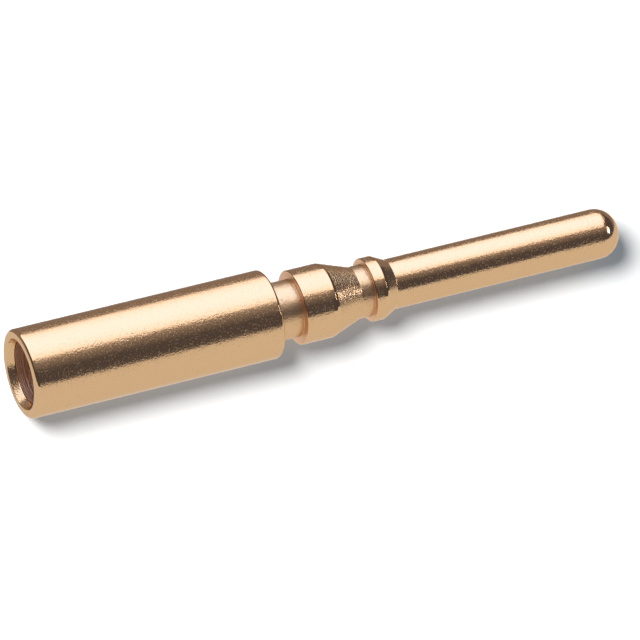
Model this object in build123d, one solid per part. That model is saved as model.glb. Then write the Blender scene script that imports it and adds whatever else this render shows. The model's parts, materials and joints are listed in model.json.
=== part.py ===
"""Crimp pin contact, turned in one piece from round bar.

The contact stands on the mouth of its crimp barrel. The origin is the centre of that mouth
face, and +Z runs along the axis to the nose of the pin. All sizes are in millimetres.
"""
import os
from math import radians, tan

from build123d import *

# Crimp barrel: a tube closed at its front end, with a drilled bore for the stripped wire
crimp_bore_diameter = 2.52
crimp_bore_depth = 8.0
drill_point_angle = 118.0
barrel_wall = 0.51
barrel_length = 10.4

# Mouth of the barrel: a countersink that guides the strands, and a broken outer edge
countersink_depth = 0.285
countersink_angle = 60.0
mouth_edge_break = 0.08

# Rear neck, the groove between the barrel and the collar
rear_neck_diameter = 2.3
rear_neck_length = 1.07

# Collar: a plain rim, then a cone that the retaining tines slide over
collar_height = 0.336
collar_rim_length = 1.295
collar_cone_length = 1.275

# Contact pin, with a rounded nose that keeps a small flat at its tip
pin_diameter = 2.0
pin_length = 9.87
nose_flat_diameter = 0.2

# Front neck and flange, turned just above the pin
front_neck_height = 0.04
front_neck_length = 0.505
flange_height = 0.23
flange_rim_length = 0.466
flange_taper_length = 0.536

# Broken outer edges of barrel, collar and flange, and the tool's radius in their inner corners
edge_break = 0.05
corner_radius = 0.04

# Radii that follow from the sizes above
bore_radius = crimp_bore_diameter / 2
mouth_radius = bore_radius + countersink_depth * tan(radians(countersink_angle / 2))
drill_point_depth = bore_radius / tan(radians(drill_point_angle / 2))
barrel_radius = bore_radius + barrel_wall
rear_neck_radius = rear_neck_diameter / 2
collar_radius = rear_neck_radius + collar_height
pin_radius = pin_diameter / 2
front_neck_radius = pin_radius + front_neck_height
flange_radius = front_neck_radius + flange_height
nose_flat_radius = nose_flat_diameter / 2
nose_radius = pin_radius - nose_flat_radius

# Heights along the axis, counted from the mouth face
barrel_front = barrel_length
collar_back = barrel_front + rear_neck_length
collar_front = collar_back + collar_rim_length
cone_end = collar_front + collar_cone_length
flange_back = cone_end + front_neck_length
flange_front = flange_back + flange_rim_length
pin_start = flange_front + flange_taper_length
tip = pin_start + pin_length
nose_start = tip - nose_radius


def corner(section, radius, height):
    """The corner of a section that lies nearest to this radius and height."""
    return section.vertices().sort_by_distance((radius, 0, height))[0]


def half_section():
    """Half of the contact's lengthwise section, on the plane through its axis, bore left open."""
    with BuildSketch(Plane.XZ) as section:
        with BuildLine():
            Polyline(
                (mouth_radius, 0),
                (barrel_radius, 0),
                (barrel_radius, barrel_front),
                (rear_neck_radius, barrel_front),
                (rear_neck_radius, collar_back),
                (collar_radius, collar_back),
                (collar_radius, collar_front),
                (front_neck_radius, cone_end),
                (front_neck_radius, flange_back),
                (flange_radius, flange_back),
                (flange_radius, flange_front),
                (pin_radius, pin_start),
                (pin_radius, nose_start),
            )
            CenterArc((nose_flat_radius, nose_start), nose_radius, 0, 90)
            Polyline(
                (nose_flat_radius, tip),
                (0, tip),
                (0, crimp_bore_depth + drill_point_depth),
                (bore_radius, crimp_bore_depth),
                (bore_radius, countersink_depth),
                (mouth_radius, 0),
            )
        make_face()
    return section.sketch


def edges_finished(section):
    """The section with its outer edges broken and its inner corners rounded by the tool."""
    broken = [
        (barrel_radius, barrel_front),
        (collar_radius, collar_back),
        (collar_radius, collar_front),
        (flange_radius, flange_back),
        (flange_radius, flange_front),
    ]
    rounded = [
        (rear_neck_radius, barrel_front),
        (rear_neck_radius, collar_back),
        (front_neck_radius, flange_back),
    ]
    section = chamfer(corner(section, barrel_radius, 0), mouth_edge_break)
    for radius, height in broken:
        section = chamfer(corner(section, radius, height), edge_break)
    for radius, height in rounded:
        section = fillet(corner(section, radius, height), corner_radius)
    return section


contact = revolve(edges_finished(half_section()), Axis.Z)

os.makedirs("parts", exist_ok=True)
export_step(contact, "parts/crimp_pin_contact.step")
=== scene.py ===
import json
from math import atan2, cos, pi, radians, sin, tan

import bmesh
import bpy
from mathutils import Matrix, Vector


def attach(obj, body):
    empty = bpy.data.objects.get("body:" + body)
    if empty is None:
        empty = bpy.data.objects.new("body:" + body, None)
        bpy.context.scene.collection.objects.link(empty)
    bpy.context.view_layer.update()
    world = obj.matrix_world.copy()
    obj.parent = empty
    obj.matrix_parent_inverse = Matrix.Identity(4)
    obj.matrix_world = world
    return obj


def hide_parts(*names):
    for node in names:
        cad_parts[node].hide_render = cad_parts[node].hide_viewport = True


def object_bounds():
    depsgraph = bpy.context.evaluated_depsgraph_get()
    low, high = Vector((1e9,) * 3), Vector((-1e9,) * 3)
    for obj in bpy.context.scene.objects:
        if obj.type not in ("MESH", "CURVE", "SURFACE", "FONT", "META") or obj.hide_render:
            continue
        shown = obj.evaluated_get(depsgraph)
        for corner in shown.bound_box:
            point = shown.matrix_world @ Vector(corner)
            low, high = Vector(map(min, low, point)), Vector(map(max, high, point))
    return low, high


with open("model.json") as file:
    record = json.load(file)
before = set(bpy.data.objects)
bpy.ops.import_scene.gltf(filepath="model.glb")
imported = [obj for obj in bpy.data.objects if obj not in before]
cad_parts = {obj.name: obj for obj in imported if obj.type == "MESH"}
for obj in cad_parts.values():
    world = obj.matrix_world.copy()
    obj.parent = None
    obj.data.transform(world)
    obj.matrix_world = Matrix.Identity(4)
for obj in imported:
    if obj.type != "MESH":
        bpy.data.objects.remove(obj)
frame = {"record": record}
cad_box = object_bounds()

scene = bpy.context.scene
scene.view_settings.view_transform = "Standard"

# Camera
# The contact's own frame stands it on the mouth of its barrel, but in the photograph it lies on
# a table. So the camera is turned instead, and the table is upright beside the barrel.
picture_pixels = 640
mouth_in_picture = (19.8, 374.5)     # pixels, from the picture's upper left corner
picture_width = 0.024578             # metres that the picture shows, at the mouth
camera_distance = 0.30193            # from the mouth, along the line of sight
nearest_seen = 0.01
axis_rises = radians(13.78)          # up the picture, from the mouth to the nose
axis_recedes = radians(20.03)        # away from the camera, from the mouth to the nose

axis_seen = Vector((
    cos(axis_recedes) * cos(axis_rises),
    cos(axis_recedes) * sin(axis_rises),
    -sin(axis_recedes),
))
looks_down = atan2(axis_seen.y, -axis_seen.z)      # a level contact, seen with no roll
table_normal_seen = Vector((0, cos(looks_down), sin(looks_down)))
towards_seen = axis_seen.cross(table_normal_seen)  # along the table, towards the camera
turn = Matrix((towards_seen, -table_normal_seen, axis_seen))

metres_per_pixel = picture_width / picture_pixels
mouth_seen = Vector((
    (mouth_in_picture[0] - picture_pixels / 2) * metres_per_pixel,
    (picture_pixels / 2 - mouth_in_picture[1]) * metres_per_pixel,
    -camera_distance,
))
camera_data = bpy.data.cameras.new("camera")
camera_data.lens = camera_data.sensor_width * camera_distance / picture_width
camera_data.clip_start = nearest_seen
camera = bpy.data.objects.new("camera", camera_data)
camera.matrix_world = Matrix.Translation(-(turn @ mouth_seen)) @ turn.to_4x4()
scene.collection.objects.link(camera)
scene.camera = camera

# Backdrop, floor and table
# White paper stands close behind the contact and takes its even shadow, and another sheet lies
# under its mouth. The table is a white board beside the barrel, seen in the gold alone.
paper_size = 0.14
paper_colour = (0.8, 0.8, 0.8)
shadow_glow = (0.145, 0.179, 0.206)  # light that the paper keeps in a shadow
floor_gap = 0.000005                 # keeps the floor clear of the mouth
table_size = 0.5
table_colour = (1, 1, 1)
barrel_radius = cad_box[1].x
along_axis = Vector((0, 0, 1))
camera_side = (turn @ Vector((0, 0, 1))).xy.normalized().to_3d()
over_top = camera_side.cross(along_axis)
sheet_corners = ((-1, -1), (1, -1), (1, 1), (-1, 1))


def stage_sheet(name, corners, material):
    """A flat sheet of the stage, through four corners."""
    mesh = bpy.data.meshes.new(name)
    mesh.from_pydata(corners, [], [(0, 1, 2, 3)])
    mesh.materials.append(material)
    sheet = bpy.data.objects.new(name, mesh)
    scene.collection.objects.link(sheet)
    return sheet


def in_gloss_only(sheet):
    """Leaves a sheet to the contact's reflections alone."""
    sheet.visible_camera = False
    sheet.visible_diffuse = False
    sheet.visible_shadow = False


def stage_material(name):
    """An empty material of the stage: itself, its node tree and its surface's socket."""
    material = bpy.data.materials.new(name)
    material.use_nodes = True
    tree = material.node_tree
    tree.nodes.clear()
    return material, tree, tree.nodes.new("ShaderNodeOutputMaterial").inputs["Surface"]


def glow(tree, colour):
    """Light that a sheet gives off by itself."""
    node = tree.nodes.new("ShaderNodeEmission")
    node.inputs["Color"].default_value = (*colour, 1)
    return node.outputs[0]


def paper(tree):
    """White paper, with the light that it keeps in a shadow."""
    lit = tree.nodes.new("ShaderNodeBsdfDiffuse")
    lit.inputs["Color"].default_value = (*paper_colour, 1)
    both = tree.nodes.new("ShaderNodeAddShader")
    tree.links.new(lit.outputs[0], both.inputs[0])
    tree.links.new(glow(tree, shadow_glow), both.inputs[1])
    return both.outputs[0]


def board(tree):
    """The table's even white."""
    return glow(tree, table_colour)


def one_sided(name, shader):
    """A material that shows its upper face alone."""
    material, tree, surface = stage_material(name)
    mix = tree.nodes.new("ShaderNodeMixShader")
    geometry = tree.nodes.new("ShaderNodeNewGeometry")
    tree.links.new(geometry.outputs["Backfacing"], mix.inputs["Fac"])
    tree.links.new(shader(tree), mix.inputs[1])
    tree.links.new(tree.nodes.new("ShaderNodeBsdfTransparent").outputs[0], mix.inputs[2])
    tree.links.new(mix.outputs[0], surface)
    return material


half_paper = paper_size / 2
backdrop = stage_sheet(
    "backdrop",
    [
        half_paper * (across * over_top + along * along_axis) - barrel_radius * camera_side
        for along, across in sheet_corners
    ],
    one_sided("backdrop_paper", paper),
)
backdrop.visible_glossy = False
backdrop.visible_shadow = False

floor = stage_sheet(
    "floor",
    [(half_paper * x, half_paper * y, -floor_gap) for x, y in sheet_corners],
    one_sided("floor_paper", paper),
)
floor.visible_diffuse = False
floor.visible_glossy = False
floor.visible_shadow = False

half_table = table_size / 2
in_gloss_only(stage_sheet(
    "table",
    [(half_table * x, barrel_radius, half_table * z) for x, z in sheet_corners],
    one_sided("table_white", board),
))

# Room
# A white room round the stage. The paper gets little of its light, so that the contact's
# shadow stays clear.
room_light = 0.032                   # on the paper


def worked_out(tree, operation, *values):
    """The result of one sum on sockets or numbers, in any node tree."""
    node = tree.nodes.new("ShaderNodeMath")
    node.operation = operation
    for socket, value in zip(node.inputs, values):
        if isinstance(value, (int, float)):
            socket.default_value = value
        else:
            tree.links.new(value, socket)
    return node.outputs[0]


room = bpy.data.worlds.new("room")
scene.world = room
room.use_nodes = True
tree = room.node_tree
tree.nodes.clear()
rays = tree.nodes.new("ShaderNodeLightPath").outputs
seen = worked_out(tree, "ADD", rays["Is Camera Ray"], rays["Is Glossy Ray"])
seen = worked_out(tree, "ADD", seen, rays["Is Transmission Ray"])
mix = tree.nodes.new("ShaderNodeMixShader")
tree.links.new(seen, mix.inputs["Fac"])
for strength, socket in ((room_light, mix.inputs[1]), (1.0, mix.inputs[2])):
    white = tree.nodes.new("ShaderNodeBackground")
    white.inputs["Color"].default_value = (1, 1, 1, 1)
    white.inputs["Strength"].default_value = strength
    tree.links.new(white.outputs[0], socket)
tree.links.new(mix.outputs[0], tree.nodes.new("ShaderNodeOutputWorld").inputs["Surface"])

# Soft box
# A large soft box above the lying contact, which the gold shows as its wide pale band. Its
# cloth is brightest and bluest in the middle, and warmer towards its edges.
box_azimuth = 66.7
box_distance = 0.1
box_heights = (-0.08, 0.115)         # along the contact's axis
box_half_angle = radians(43.1)
box_radiance = 3.25
box_middle_colour = (0.54, 0.69, 1.0)
box_edge_colour = (0.585, 0.54, 0.52)
box_fades = (2, 6)                   # powers by which the colour turns, across and along

box_middle_height = sum(box_heights) / 2
box_half_height = (box_heights[1] - box_heights[0]) / 2
box_half_width = box_distance * tan(box_half_angle)


def direction(azimuth, polar):
    """A direction from the contact, in degrees: azimuth round its axis, from the camera's side
    over the top of the lying contact, and polar angle from the axis at the nose."""
    a, p = radians(azimuth), radians(polar)
    return sin(p) * (cos(a) * camera_side + sin(a) * over_top) + cos(p) * along_axis


def facing(place, aim):
    """Stands a panel or a lamp at a place, so that its own -Z points where it is aimed and its
    own Y runs along the contact's axis."""
    back = (Vector(place) - Vector(aim)).normalized()
    side = along_axis.cross(back).normalized()
    turned = Matrix((side, back.cross(side), back)).transposed().to_4x4()
    return Matrix.Translation(place) @ turned


def panel(name, azimuth, half_width, material):
    """An upright panel as high as the soft box and as far from the axis, which it faces."""
    corners = [(half_width * x, box_half_height * y, 0) for y, x in sheet_corners]
    sheet = stage_sheet(name, corners, material)
    place = box_distance * direction(azimuth, 90)
    place.z = box_middle_height
    sheet.matrix_world = facing(place, (0, 0, box_middle_height))
    in_gloss_only(sheet)


def own_place(tree):
    """Where a point lies on its own panel: the sockets of X, Y and Z."""
    place = tree.nodes.new("ShaderNodeSeparateXYZ")
    tree.links.new(tree.nodes.new("ShaderNodeTexCoord").outputs["Object"], place.inputs[0])
    return place.outputs


def glow_of_two(name, strength, colours, draw_mask):
    """A panel's material that glows in the first colour where its mask is 0, and in the second
    where it is 1."""
    material, tree, surface = stage_material(name)
    mix = tree.nodes.new("ShaderNodeMix")
    mix.data_type = "RGBA"
    tree.links.new(draw_mask(tree), mix.inputs["Factor"])
    for socket, colour in zip(("A", "B"), colours):
        mix.inputs[socket].default_value = (*colour, 1)
    shine = tree.nodes.new("ShaderNodeEmission")
    shine.inputs["Strength"].default_value = strength
    tree.links.new(mix.outputs["Result"], shine.inputs["Color"])
    tree.links.new(shine.outputs[0], surface)
    return material


def near_box_edge(tree):
    """A mask that is 0 in the middle of the soft box and 1 at its edges."""
    place = own_place(tree)
    masks = []
    for axis, half, power in zip("XY", (box_half_width, box_half_height), box_fades):
        outward = worked_out(tree, "ABSOLUTE", worked_out(tree, "DIVIDE", place[axis], half))
        masks.append(worked_out(tree, "POWER", outward, power))
    return worked_out(tree, "ADD", *masks)


box_cloth = glow_of_two(
    "soft_box_cloth", box_radiance, (box_middle_colour, box_edge_colour), near_box_edge
)
panel("soft_box", box_azimuth, box_half_width, box_cloth)

# Lamps
# A small lamp beyond the nose gives the glints on the front edges, and one high beside the
# camera the soft shadow. A third lights the floor from above.
glint_from = (2, 41)                 # degrees, as in direction()
glint_distance = 0.2
glint_size = (0.075, 0.012)
glint_radiance = 14.0
glint_colour = (0.9, 0.9, 1.0)
shadow_falls = (0.39, 0.64)          # down the picture and along the axis, per metre behind
shadow_lamp_distance = 0.6
shadow_lamp_size = 0.245
shadow_lamp_radiance = 38.0
shadow_lamp_colour = (1.0, 0.98, 0.96)
floor_lamp_lean = 0.3                # away from the camera, per metre of height
floor_lamp_distance = 0.4
floor_lamp_size = 0.25
floor_lamp_radiance = 16.0
floor_lamp_colour = (1, 1, 1)
tip = cad_box[1].z


def lamp(name, aim, place, size, radiance, colour):
    """A lamp of this radiance: round if it has one size, and otherwise a rectangle."""
    light = bpy.data.lights.new(name, "AREA")
    if isinstance(size, tuple):
        light.shape = "RECTANGLE"
        light.size, light.size_y = size
        area = size[0] * size[1]
    else:
        light.shape = "DISK"
        light.size = size
        area = pi * (size / 2) ** 2
    light.energy = radiance * pi * area
    light.color = colour
    stand = bpy.data.objects.new(name, light)
    stand.matrix_world = facing(place, aim)
    scene.collection.objects.link(stand)
    return stand


nose = Vector((0, 0, tip))
glint_lamp = lamp(
    "glint_lamp",
    nose,
    nose + glint_distance * direction(*glint_from),
    glint_size,
    glint_radiance,
    glint_colour,
)
glint_lamp.visible_diffuse = False

middle = nose / 2
from_middle = camera_side + shadow_falls[0] * over_top - shadow_falls[1] * along_axis
shadow_lamp = lamp(
    "shadow_lamp",
    middle,
    middle + shadow_lamp_distance * from_middle.normalized(),
    shadow_lamp_size,
    shadow_lamp_radiance,
    shadow_lamp_colour,
)
shadow_lamp.visible_glossy = False
shadow_lamp.visible_camera = False

floor_lamp = lamp(
    "floor_lamp",
    (0, 0, 0),
    floor_lamp_distance * (along_axis - floor_lamp_lean * camera_side).normalized(),
    floor_lamp_size,
    floor_lamp_radiance,
    floor_lamp_colour,
)
floor_lamp.visible_glossy = False
floor_lamp.visible_camera = False

# Cards
# Card round the contact that its gold shows as its dark bands: a black dome over everything, a
# black strip in front, a grey strip behind, and a dim panel beside the soft box.
black_glow = (0.108, 0.106, 0.138)
dim_glow = (0.46, 0.42, 0.43)
grey_glow = (0.36, 0.32, 0.33)
back_card_distance = 0.0095
back_card_height = 0.0102
front_card_distance = 0.023
front_card_height = 0.012
dim_card_azimuth = 9.5
dim_card_half_width = box_distance * tan(radians(15.5))
dome_radius = 0.3
dome_segments = (32, 16)


def card(name, colour):
    """Card that glows faintly all over."""
    material, tree, surface = stage_material(name)
    tree.links.new(glow(tree, colour), surface)
    return material


black_card = card("black_card", black_glow)
for name, x, height, material in (
    ("back_card", -back_card_distance, back_card_height, card("grey_card", grey_glow)),
    ("front_card", front_card_distance, front_card_height, black_card),
):
    table, top = barrel_radius, barrel_radius - height
    strip = [(x, y, half_table * z) for y, z in ((table, -1), (table, 1), (top, 1), (top, -1))]
    in_gloss_only(stage_sheet(name, strip, material))


def across_card(tree):
    """A mask that goes from 0 to 1 across the dim panel, away from the soft box."""
    ramp = tree.nodes.new("ShaderNodeMapRange")
    ramp.inputs["From Min"].default_value = -dim_card_half_width
    ramp.inputs["From Max"].default_value = dim_card_half_width
    tree.links.new(own_place(tree)["X"], ramp.inputs["Value"])
    return ramp.outputs["Result"]


dim_card = glow_of_two("dim_card", 1.0, (dim_glow, black_glow), across_card)
panel("dim_card", dim_card_azimuth, dim_card_half_width, dim_card)

dome_mesh = bpy.data.meshes.new("black_dome")
shell = bmesh.new()
bmesh.ops.create_uvsphere(
    shell, u_segments=dome_segments[0], v_segments=dome_segments[1], radius=dome_radius
)
shell.to_mesh(dome_mesh)
shell.free()
dome_mesh.materials.append(black_card)
dome = bpy.data.objects.new("black_dome", dome_mesh)
scene.collection.objects.link(dome)
in_gloss_only(dome)

# Crimp pin contact
# One piece, turned from round brass bar and drilled from its rear end. Its edges are broken by
# tumbling, which also peens the skin, and it is then plated with hard gold.
mounts = {mount["name"]: mount for mount in frame["record"]["mounts"]}
pin_radius = mounts["contact_pin"]["dims"]["r_mm"] / 1000
bore_radius = mounts["crimp_bore"]["dims"]["r_mm"] / 1000

barrel_front = 0.0104
bore_depth = 0.008
drill_point = radians(118)
countersink_depth = 0.000285
countersink = radians(60)
rear_neck_radius = 0.00115
collar_back = 0.01147
collar_radius = 0.001486
collar_front = 0.012765
cone_end = 0.01404
front_neck_radius = 0.00104
flange_back = 0.014545
flange_radius = 0.00127
flange_front = 0.015011
pin_start = 0.015547
mouth_radius = bore_radius + countersink_depth * tan(countersink / 2)
drill_tip = bore_depth + bore_radius / tan(drill_point / 2)

# Rounds of its edges and inner corners
lip_round = 0.00003
mouth_edge_round = 0.00015
bore_edge_round = 0.00009
edge_round = 0.00013
flange_edge_round = 0.00011
small_round = 0.00005
root_round = 0.00002
broad_round = 0.0001
nose_radius = 0.0009

# Finishes: roughness, roughness of the specks, and depth of the grain
tumbled = (0.15, 0.36, 0.0000052)
burnished = (0.05, 0.05, 0.0000006)
turned_groove = (0.3, 0.46, 0.000009)
countersunk = (0.18, 0.36, 0.000008)
faced = (0.42, 0.5, 0.000009)
turned_cone = (0.22, 0.37, 0.0000095)
turned_taper = (0.2, 0.3, 0.000005)
polished_nose = (0.12, 0.2, 0.000003)
drilled = (0.5, 0.65, 0.00001)

edge_reach = 0.00001                 # how far a corner's finish reaches along its faces
wide_reach = 0.0001
finish_blend = 0.000008              # width over which one finish turns into the next
steps_per_quarter_turn = 6           # of a rounded corner
fewest_steps = 3
bore_reach = 1.001                   # of the bore's plating, as a share of the bore's radius

# Corners of the outline, from the bore round the mouth to the nose: radius, height, round,
# reach, finish of the corner, and finish of the face that follows it
corners = [
    (0, drill_tip, 0, 0, drilled, drilled),
    (bore_radius, bore_depth, small_round, edge_reach, drilled, drilled),
    (bore_radius, countersink_depth, bore_edge_round, edge_reach, burnished, countersunk),
    (mouth_radius, 0, lip_round, edge_reach, burnished, tumbled),
    (barrel_radius, 0, mouth_edge_round, edge_reach, burnished, tumbled),
    (barrel_radius, barrel_front, edge_round, edge_reach, burnished, turned_groove),
    (rear_neck_radius, barrel_front, root_round, edge_reach, turned_groove, turned_groove),
    (rear_neck_radius, collar_back, root_round, edge_reach, turned_groove, faced),
    (collar_radius, collar_back, small_round, edge_reach, burnished, tumbled),
    (collar_radius, collar_front, edge_round, wide_reach, burnished, turned_cone),
    (front_neck_radius, cone_end, broad_round, edge_reach, turned_cone, turned_groove),
    (front_neck_radius, flange_back, root_round, edge_reach, turned_groove, faced),
    (flange_radius, flange_back, small_round, edge_reach, burnished, tumbled),
    (flange_radius, flange_front, flange_edge_round, wide_reach, burnished, turned_taper),
    (pin_radius, pin_start, broad_round, edge_reach, tumbled, tumbled),
    (pin_radius, tip, nose_radius, edge_reach, polished_nose, polished_nose),
    (0, tip, 0, 0, polished_nose, polished_nose),
]


def rounded(corners):
    """The outline's points and their finishes. Each corner is an arc, with its finish reaching
    a little beyond it, so that the long faces between the arcs stay true."""
    outline = [(Vector(corners[0][:2]), corners[0][5])]
    for before, corner, after in zip(corners, corners[1:], corners[2:]):
        radius, height, arc, reach, finish, next_finish = corner
        here = Vector((radius, height))
        back = (Vector(before[:2]) - here).normalized()
        ahead = (Vector(after[:2]) - here).normalized()
        half_angle = back.angle(ahead) / 2
        cut = arc / tan(half_angle)
        centre = here + (back + ahead).normalized() * arc / sin(half_angle)
        start = here + back * cut - centre
        swing = (pi - 2 * half_angle) * (1 if back.cross(ahead) < 0 else -1)
        steps = max(fewest_steps, round(steps_per_quarter_turn * abs(swing) / (pi / 2)))
        outline.append((here + back * (cut + reach + finish_blend), before[5]))
        outline.append((here + back * (cut + reach), finish))
        for i in range(steps + 1):
            outline.append((centre + Matrix.Rotation(swing * i / steps, 2) @ start, finish))
        outline.append((here + ahead * (cut + reach), finish))
        outline.append((here + ahead * (cut + reach + finish_blend), next_finish))
    outline.append((Vector(corners[-1][:2]), corners[-1][4]))
    return outline


def height_and_radius(tree, position):
    """How far along the axis and how far from it a position is, in any node tree."""
    place = tree.nodes.new("ShaderNodeSeparateXYZ")
    tree.links.new(position, place.inputs[0])
    flat = tree.nodes.new("ShaderNodeCombineXYZ")
    for axis in "XY":
        tree.links.new(place.outputs[axis], flat.inputs[axis])
    from_axis = tree.nodes.new("ShaderNodeVectorMath")
    from_axis.operation = "LENGTH"
    tree.links.new(flat.outputs["Vector"], from_axis.inputs[0])
    return place.outputs["Z"], from_axis.outputs["Value"]


def lathe_tree():
    """Geometry Nodes that turn an outline, drawn as (radius, -height, 0), about the Z axis. The
    outline is swept along a circle, from which it is first moved back by the circle's radius."""
    tree = bpy.data.node_groups.new("turned_from_outline", "GeometryNodeTree")
    for name, kind in (
        ("Outline", "Geometry"),
        ("Facets", "Int"),
        ("Circle Radius", "Float"),
        ("Weld Distance", "Float"),
        ("Crease", "Float"),
        ("Bore Radius", "Float"),
        ("Bore End", "Float"),
        ("Outside Finish", "Material"),
        ("Bore Finish", "Material"),
    ):
        tree.interface.new_socket(name, in_out="INPUT", socket_type="NodeSocket" + kind)
    tree.interface.new_socket("Turned", in_out="OUTPUT", socket_type="NodeSocketGeometry")
    nodes, links = tree.nodes, tree.links
    given = nodes.new("NodeGroupInput").outputs

    def smaller(a, b):
        """A mask that tells where one number is smaller than another."""
        test = nodes.new("FunctionNodeCompare")
        test.operation = "LESS_THAN"
        links.new(a, test.inputs["A"])
        links.new(b, test.inputs["B"])
        return test.outputs["Result"]

    curve = nodes.new("GeometryNodeMeshToCurve")
    links.new(given["Outline"], curve.inputs["Mesh"])
    back = nodes.new("ShaderNodeCombineXYZ")
    links.new(worked_out(tree, "MULTIPLY", given["Circle Radius"], -1), back.inputs["X"])
    profile = nodes.new("GeometryNodeTransform")
    links.new(curve.outputs["Curve"], profile.inputs["Geometry"])
    links.new(back.outputs["Vector"], profile.inputs["Translation"])
    circle = nodes.new("GeometryNodeCurvePrimitiveCircle")
    links.new(given["Facets"], circle.inputs["Resolution"])
    links.new(given["Circle Radius"], circle.inputs["Radius"])
    upright = nodes.new("GeometryNodeSetCurveNormal")
    upright.mode = "Z_UP"
    links.new(circle.outputs["Curve"], upright.inputs["Curve"])
    sweep = nodes.new("GeometryNodeCurveToMesh")
    links.new(upright.outputs["Curve"], sweep.inputs["Curve"])
    links.new(profile.outputs["Geometry"], sweep.inputs["Profile Curve"])
    outward = nodes.new("GeometryNodeFlipFaces")
    links.new(sweep.outputs["Mesh"], outward.inputs["Mesh"])
    closed = nodes.new("GeometryNodeMergeByDistance")
    links.new(given["Weld Distance"], closed.inputs["Distance"])
    links.new(outward.outputs["Mesh"], closed.inputs["Geometry"])

    edge = nodes.new("GeometryNodeInputMeshEdgeAngle")
    smooth = nodes.new("GeometryNodeSetShadeSmooth")
    smooth.domain = "EDGE"
    links.new(closed.outputs["Geometry"], smooth.inputs["Geometry"])
    links.new(
        smaller(edge.outputs["Unsigned Angle"], given["Crease"]), smooth.inputs["Shade Smooth"]
    )
    realize = nodes.new("GeometryNodeRealizeInstances")
    links.new(smooth.outputs["Geometry"], realize.inputs["Geometry"])

    position = nodes.new("GeometryNodeInputPosition").outputs["Position"]
    height, radius = height_and_radius(tree, position)
    in_bore = nodes.new("FunctionNodeBooleanMath")
    in_bore.operation = "AND"
    links.new(smaller(radius, given["Bore Radius"]), in_bore.inputs[0])
    links.new(smaller(height, given["Bore End"]), in_bore.inputs[1])
    outside = nodes.new("GeometryNodeSetMaterial")
    links.new(realize.outputs["Geometry"], outside.inputs["Geometry"])
    links.new(given["Outside Finish"], outside.inputs["Material"])
    bore = nodes.new("GeometryNodeSetMaterial")
    links.new(outside.outputs["Geometry"], bore.inputs["Geometry"])
    links.new(in_bore.outputs[0], bore.inputs["Selection"])
    links.new(given["Bore Finish"], bore.inputs["Material"])
    links.new(bore.outputs["Geometry"], nodes.new("NodeGroupOutput").inputs["Turned"])
    return tree


def effect_group(name, inputs, output, kind="Float"):
    """An empty group for an effect of the plating, its inputs and its output's socket."""
    group = bpy.data.node_groups.new(name, "ShaderNodeTree")
    for socket, socket_kind in inputs.items():
        group.interface.new_socket(
            socket, in_out="INPUT", socket_type="NodeSocket" + socket_kind
        )
    group.interface.new_socket(output, in_out="OUTPUT", socket_type="NodeSocket" + kind)
    given = group.nodes.new("NodeGroupInput").outputs
    return group, given, group.nodes.new("NodeGroupOutput").inputs[output]


def noise(tree, position, scale, detail):
    """A noise texture, read at a position."""
    node = tree.nodes.new("ShaderNodeTexNoise")
    node.inputs["Detail"].default_value = detail
    tree.links.new(position, node.inputs["Vector"])
    tree.links.new(scale, node.inputs["Scale"])
    return node


# The peened grain that tumbling leaves: shallow dimples, deeper in some patches than in others
dimple_fineness = 0.6
patches_per_dimple = 0.12
patch_levels = (0.3, 0.7)
patch_depths = (0.5, 1.5)
level_skin = 0.5                     # the noise's own middle

grain, given, result = effect_group(
    "tumbled_grain", {"Position": "Vector", "Size": "Float"}, "Height"
)
fine = noise(grain, given["Position"], worked_out(grain, "DIVIDE", 1, given["Size"]), 1.0)
fine.inputs["Roughness"].default_value = dimple_fineness
patches = noise(
    grain,
    given["Position"],
    worked_out(grain, "DIVIDE", patches_per_dimple, given["Size"]),
    0.0,
)
uneven = grain.nodes.new("ShaderNodeMapRange")
grain.links.new(patches.outputs["Fac"], uneven.inputs["Value"])
for end, level, depth in zip(("Min", "Max"), patch_levels, patch_depths):
    uneven.inputs["From " + end].default_value = level
    uneven.inputs["To " + end].default_value = depth
dimples = worked_out(grain, "SUBTRACT", fine.outputs["Fac"], level_skin)
grain.links.new(worked_out(grain, "MULTIPLY", dimples, uneven.outputs["Result"]), result)

# The rings that the turning tool or the drill leaves round the axis
rings, given, result = effect_group(
    "tool_rings", {"Position": "Vector", "Pitch": "Float", "Depth": "Float"}, "Height"
)
height, radius = height_and_radius(rings, given["Position"])
cut = rings.nodes.new("ShaderNodeTexNoise")
cut.noise_dimensions = "1D"
cut.inputs["Scale"].default_value = 1.0
cut.inputs["Detail"].default_value = 1.0
along = worked_out(rings, "ADD", height, radius)
rings.links.new(worked_out(rings, "DIVIDE", along, given["Pitch"]), cut.inputs["W"])
rings.links.new(worked_out(rings, "MULTIPLY", cut.outputs["Fac"], given["Depth"]), result)

# Fine rough specks, where the tumbling media struck or the plating is thin
speck_shift = (0.05, 0.03, 0.07)     # metres, so that the specks don't follow the grain
speck_softness = 0.2

specks, given, result = effect_group(
    "rough_specks", {"Position": "Vector", "Size": "Float", "Cover": "Float"}, "Mask"
)
shifted = specks.nodes.new("ShaderNodeVectorMath")
shifted.inputs[1].default_value = speck_shift
specks.links.new(given["Position"], shifted.inputs[0])
spots = noise(specks, shifted.outputs[0], worked_out(specks, "DIVIDE", 1, given["Size"]), 0.0)
level = specks.nodes.new("ShaderNodeMapRange")
specks.links.new(spots.outputs["Fac"], level.inputs["Value"])
for end, top in (("From Min", 1), ("From Max", 1 + speck_softness)):
    specks.links.new(worked_out(specks, "SUBTRACT", top, given["Cover"]), level.inputs[end])
specks.links.new(level.outputs["Result"], result)

# The plating's colour: deep and warm where it is polished, paler and pinker where it is matt
polished_colour = (0.63, 0.405, 0.218)
matt_colour = (0.76, 0.49, 0.33)
polished_roughness = 0.3
matt_roughness = 0.42

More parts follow.
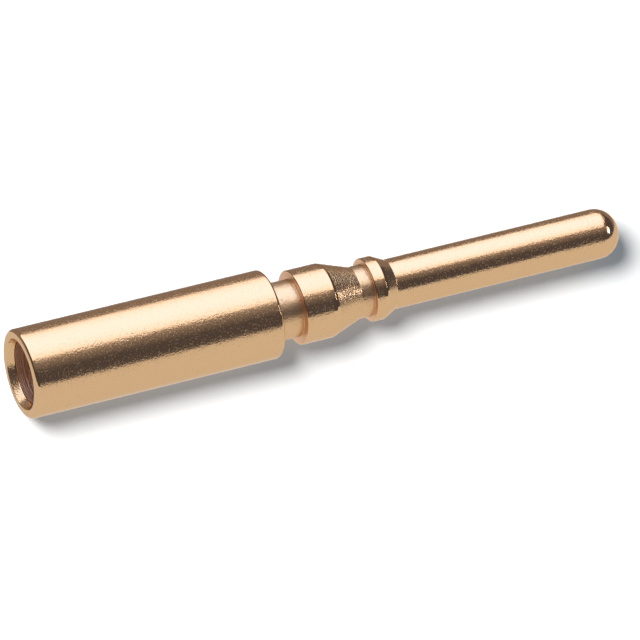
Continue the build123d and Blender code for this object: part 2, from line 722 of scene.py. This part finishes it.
tones, given, result = effect_group(
    "plating_colour",
    {"Roughness": "Float", "Polished": "Color", "Matt": "Color"},
    "Color",
    "Color",
)
matt = tones.nodes.new("ShaderNodeMapRange")
matt.inputs["From Min"].default_value = polished_roughness
matt.inputs["From Max"].default_value = matt_roughness
tones.links.new(given["Roughness"], matt.inputs["Value"])
mix = tones.nodes.new("ShaderNodeMix")
mix.data_type = "RGBA"
tones.links.new(matt.outputs["Result"], mix.inputs["Factor"])
tones.links.new(given["Polished"], mix.inputs["A"])
tones.links.new(given["Matt"], mix.inputs["B"])
tones.links.new(mix.outputs["Result"], result)

# A small dent where another contact struck: a hollow of a given width and depth
dent, given, result = effect_group(
    "dent",
    {"Position": "Vector", "Centre": "Vector", "Width": "Float", "Depth": "Float"},
    "Height",
)
away = dent.nodes.new("ShaderNodeVectorMath")
away.operation = "DISTANCE"
dent.links.new(given["Position"], away.inputs[0])
dent.links.new(given["Centre"], away.inputs[1])
hollow = dent.nodes.new("ShaderNodeMapRange")
hollow.interpolation_type = "SMOOTHSTEP"
dent.links.new(away.outputs["Value"], hollow.inputs["Value"])
dent.links.new(worked_out(dent, "MULTIPLY", given["Width"], 0.5), hollow.inputs["From Max"])
dent.links.new(worked_out(dent, "MULTIPLY", given["Depth"], -1), hollow.inputs["To Min"])
hollow.inputs["To Max"].default_value = 0.0
dent.links.new(hollow.outputs["Result"], result)

edge_tint = (0.85, 0.78, 0.70)       # of the gold's gloss at a grazing angle
speck_cover = 0.45


def plated(name, grain_size, ring_pitch, ring_depth, dents):
    """Gold plating over turned brass. The mesh carries the finish of each place, and a dent has
    its azimuth in degrees, height, radius, width and depth."""
    material = bpy.data.materials.new(name)
    material.use_nodes = True
    tree = material.node_tree
    shader = tree.nodes["Principled BSDF"]
    shader.inputs["Specular Tint"].default_value = (*edge_tint, 1)
    shader.inputs["Metallic"].default_value = 1.0
    place = tree.nodes.new("ShaderNodeTexCoord").outputs["Object"]
    carried = tree.nodes.new("ShaderNodeAttribute")
    carried.attribute_name = "finish"
    finish = tree.nodes.new("ShaderNodeSeparateXYZ")
    tree.links.new(carried.outputs["Vector"], finish.inputs[0])
    roughness, speck_roughness, grain_depth = finish.outputs

    def effect(group, *linked, **values):
        """A group placed in this material, with its own links and values."""
        node = tree.nodes.new("ShaderNodeGroup")
        node.node_tree = group
        for source, socket in zip(linked, node.inputs):
            tree.links.new(source, socket)
        for socket, value in values.items():
            node.inputs[socket].default_value = value
        return node.outputs[0]

    colour = effect(tones, roughness, Polished=(*polished_colour, 1), Matt=(*matt_colour, 1))
    tree.links.new(colour, shader.inputs["Base Color"])

    height = worked_out(tree, "MULTIPLY", effect(grain, place, Size=grain_size), grain_depth)
    tool = effect(rings, place, Pitch=ring_pitch, Depth=ring_depth)
    height = worked_out(tree, "ADD", height, tool)
    for azimuth, from_mouth, from_axis, width, depth in dents:
        centre = from_axis * direction(azimuth, 90)
        centre.z = from_mouth
        hollow = effect(dent, place, Centre=centre, Width=width, Depth=depth)
        height = worked_out(tree, "ADD", height, hollow)
    bump = tree.nodes.new("ShaderNodeBump")
    bump.inputs["Strength"].default_value = 1.0
    bump.inputs["Distance"].default_value = 1.0
    tree.links.new(height, bump.inputs["Height"])
    tree.links.new(bump.outputs["Normal"], shader.inputs["Normal"])

    duller = worked_out(tree, "SUBTRACT", speck_roughness, roughness)
    speckled = effect(specks, place, Size=grain_size, Cover=speck_cover)
    speckled = worked_out(tree, "MULTIPLY", speckled, duller)
    tree.links.new(worked_out(tree, "ADD", speckled, roughness), shader.inputs["Roughness"])
    return material


gold = plated(
    "satin_gold_plating",
    grain_size=0.000068,
    ring_pitch=0.00005,
    ring_depth=0.000001,
    dents=[
        (-1.8, 0.000203, barrel_radius, 0.00012, 0.000006),
        (-13.6, 0.00186, barrel_radius, 0.0001, 0.000005),
        (111, 0.00008, 0.001379, 0.00014, 0.00002),
    ],
)
bore_gold = plated(
    "drilled_bore_plating",
    grain_size=0.0001,
    ring_pitch=0.00007,
    ring_depth=0.000013,
    dents=[],
)

outline_points = rounded(corners)
outline = bpy.data.meshes.new("contact_outline")
outline.from_pydata(
    [(point.x, -point.y, 0) for point, finish in outline_points],
    [(i, i + 1) for i in range(len(outline_points) - 1)],
    [],
)
carried = outline.attributes.new("finish", "FLOAT_VECTOR", "POINT")
for i, (point, finish) in enumerate(outline_points):
    carried.data[i].vector = finish
drawn = bpy.data.objects.new("contact_outline", outline)
scene.collection.objects.link(drawn)
lathe = drawn.modifiers.new("lathe", "NODES")
tree = lathe_tree()
lathe.node_group = tree
settings = {
    "Facets": 256,
    "Circle Radius": 0.001,
    "Weld Distance": 0.0000001,
    "Crease": radians(35),
    "Bore Radius": bore_radius * bore_reach,
    "Bore End": (bore_depth + barrel_front) / 2,
    "Outside Finish": gold,
    "Bore Finish": bore_gold,
}
for item in tree.interface.items_tree:
    if item.name in settings:
        lathe[item.identifier] = settings[item.name]
turned = bpy.data.meshes.new_from_object(
    drawn.evaluated_get(bpy.context.evaluated_depsgraph_get())
)
bpy.data.objects.remove(drawn)
contact = bpy.data.objects.new("contact", turned)
scene.collection.objects.link(contact)
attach(contact, "root")
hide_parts("crimp_pin_contact")
